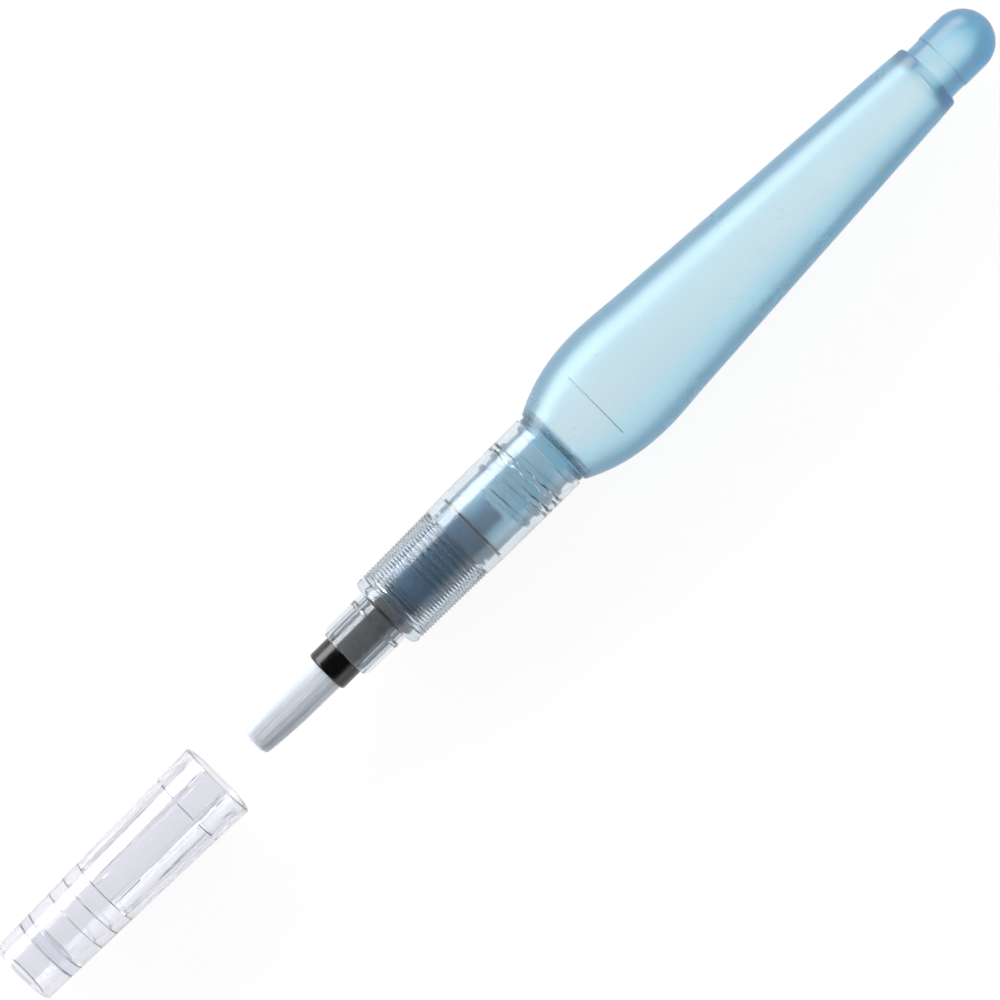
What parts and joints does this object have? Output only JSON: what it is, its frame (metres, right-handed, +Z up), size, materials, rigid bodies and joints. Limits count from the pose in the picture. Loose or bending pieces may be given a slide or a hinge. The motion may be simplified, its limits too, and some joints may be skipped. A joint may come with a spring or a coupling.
{
  "type": "water brush pen",
  "caption": "Water brush: clear pull-off cap, smoky ribbed grip section holding a blunt bristle tuft, screwed onto an oval squeezable water tank with a round tail nub.",
  "frame": {"origin": "centre of the bounding box in plan, at the height of the tank's lowest point, with the cap pulled off in line", "axes": "+X along the pen's axis towards the tail, +Z up from the tank's flatter underside, Y across the tank's wide side"},
  "size_m": [0.1906, 0.019, 0.015],
  "materials": {
    "clear_cap": "clear injection-moulded polystyrene, glossy",
    "smoky_section": "smoky transparent injection-moulded plastic, glossy",
    "black_holder": "black moulded plastic, glossy",
    "bristle": "white nylon filaments",
    "bristle_heel": "nylon filaments fused into a disc",
    "wick_fibre": "bonded polyester fibre",
    "dark_plug": "dark grey moulded polyethylene, satin",
    "filter_felt": "porous felt",
    "blue_nozzle": "blue-grey moulded polypropylene, satin",
    "black_seal": "black elastomer, matte",
    "blue_tank": "pale blue translucent blow-moulded polyethylene, satin"
  },
  "bodies": {
    "tank": {"tank": "blue_tank"},
    "seal": {"seal_ring": "black_seal"},
    "section": {"section": "smoky_section", "brush_holder": "black_holder", "bristle_tuft": "bristle", "tuft_heel": "bristle_heel", "feed_wick": "wick_fibre", "flow_plug": "dark_plug", "filter_disc": "filter_felt", "plug_nozzle": "blue_nozzle"},
    "cap": {"cap": "clear_cap"}
  },
  "joints": [
    {"name": "section_lift", "type": "slide", "parent": "tank", "child": "seal", "axis": [-1, 0, 0], "range_m": [0, 0.00841]},
    {"name": "section_turn", "type": "hinge", "parent": "seal", "child": "section", "pos_m": [0, 0, 0.00752], "axis": [-1, 0, 0], "range_deg": [0, 1440]},
    {"name": "cap_slide", "type": "slide", "parent": "section", "child": "cap", "axis": [1, 0, 0], "range_m": [0, 0.03265]}
  ],
  "couplings": [
    {"joint": "section_lift", "follows": "section_turn", "m_per_rad": 0.00033423}
  ]
}
